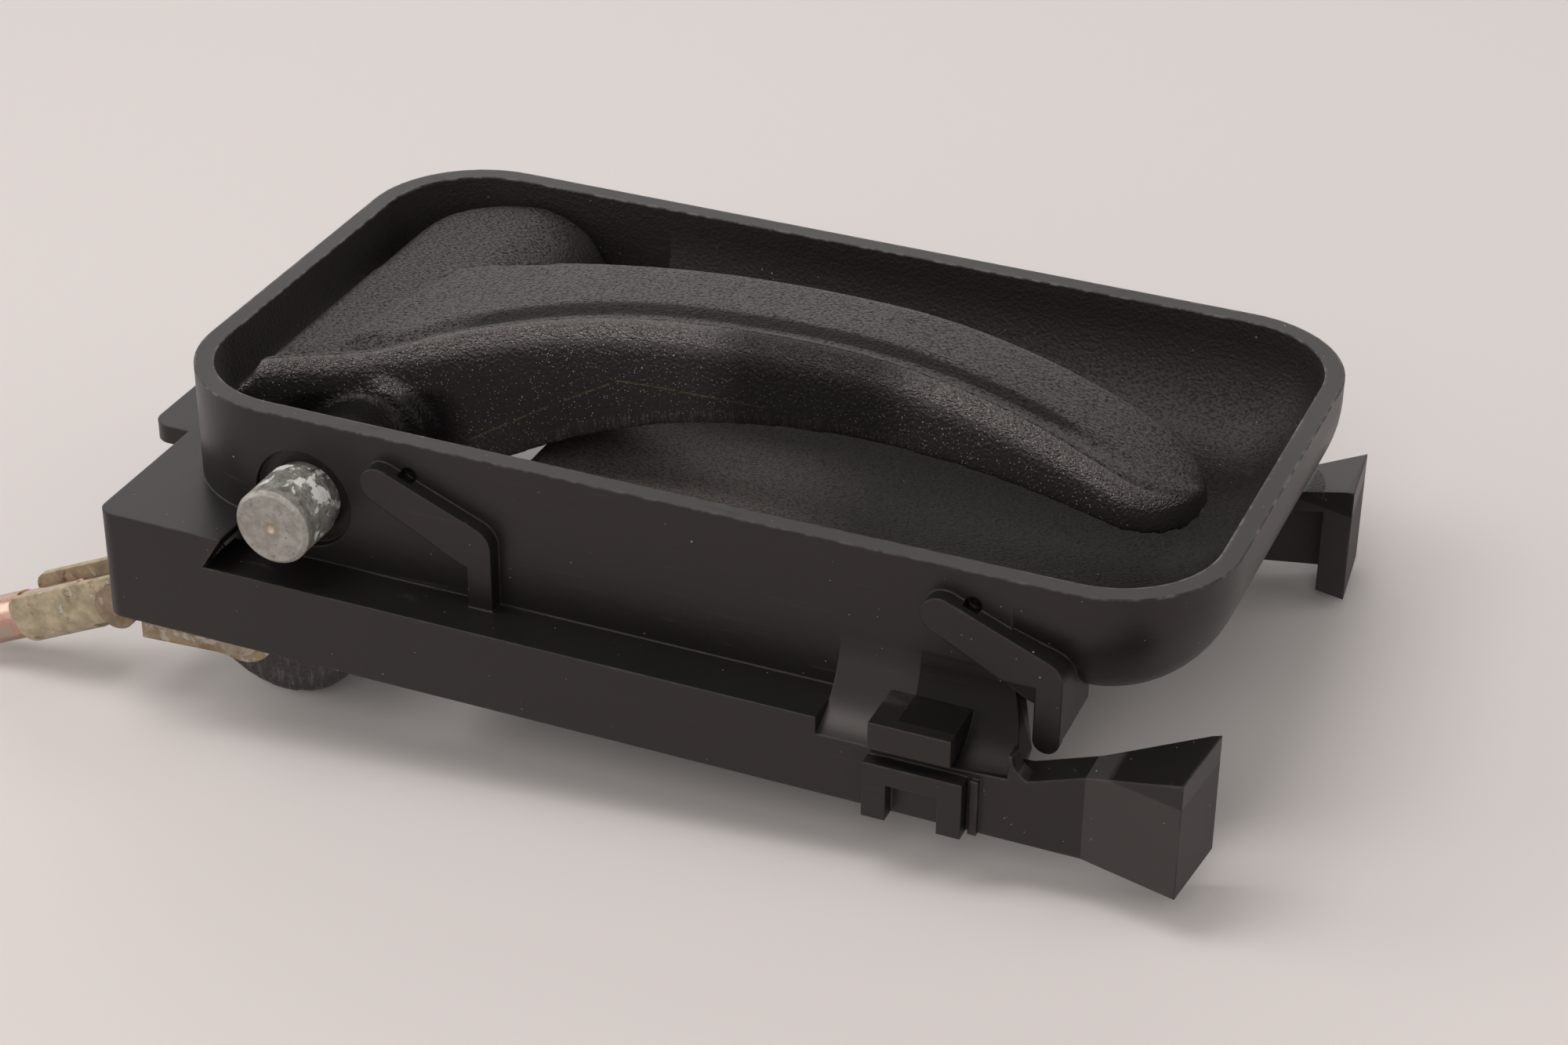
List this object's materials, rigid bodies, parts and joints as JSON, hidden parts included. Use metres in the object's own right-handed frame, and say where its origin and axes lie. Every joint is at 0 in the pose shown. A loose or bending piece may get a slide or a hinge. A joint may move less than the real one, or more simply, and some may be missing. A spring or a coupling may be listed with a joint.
{
  "type": "car interior door handle",
  "caption": "Recessed pull handle for the inside of a car door: a bowl with a curved lever on a pivot pin, a return spring and a strap that pulls a rod.",
  "frame": {"origin": "on the pivot axis, where the pivot pin's free end reaches its full thickness", "axes": "+X from the pivot towards the grip's tip, +Y along the pivot axis into the part, +Z out of the door towards the hand"},
  "size_m": [0.1653, 0.0844, 0.0534],
  "materials": {
    "black_plastic": "grained",
    "dull_zinc": "weathered",
    "brassy_zinc": "weathered",
    "spring_steel": "satin"
  },
  "bodies": {
    "housing": {"housing": "black_plastic", "pivot_pin": "dull_zinc", "pin_washer": "dull_zinc", "pin_clip": "spring_steel", "return_spring": "spring_steel"},
    "lever": {"lever": "black_plastic"},
    "link": {"pull_strap": "brassy_zinc", "strap_rivet": "dull_zinc", "strap_washer": "dull_zinc"},
    "rod": {"rod_clevis": "dull_zinc", "clevis_rivet": "dull_zinc", "clevis_spacers": "dull_zinc", "pull_rod": "brassy_zinc"}
  },
  "joints": [
    {"name": "lever_hinge", "type": "hinge", "parent": "housing", "child": "lever", "pos_m": [0, 0.0425, 0], "axis": [0, -1, 0], "range_deg": [0, 28], "stiffness_Nm_per_rad": 0.3, "springref_deg": -28.65, "deforming": ["return_spring"]},
    {"name": "link_hinge", "type": "hinge", "parent": "lever", "child": "link", "pos_m": [-0.0109, 0.00875, -0.0214], "axis": [0, -1, 0], "range_deg": [-28, 0]},
    {"name": "rod_swivel", "type": "hinge", "parent": "link", "child": "rod", "pos_m": [-0.0261, 0.00875, -0.02015], "axis": [0, -1, 0], "range_deg": [-12, 12]}
  ],
  "couplings": [
    {"joint": "link_hinge", "follows": "lever_hinge", "ratio": -1}
  ]
}
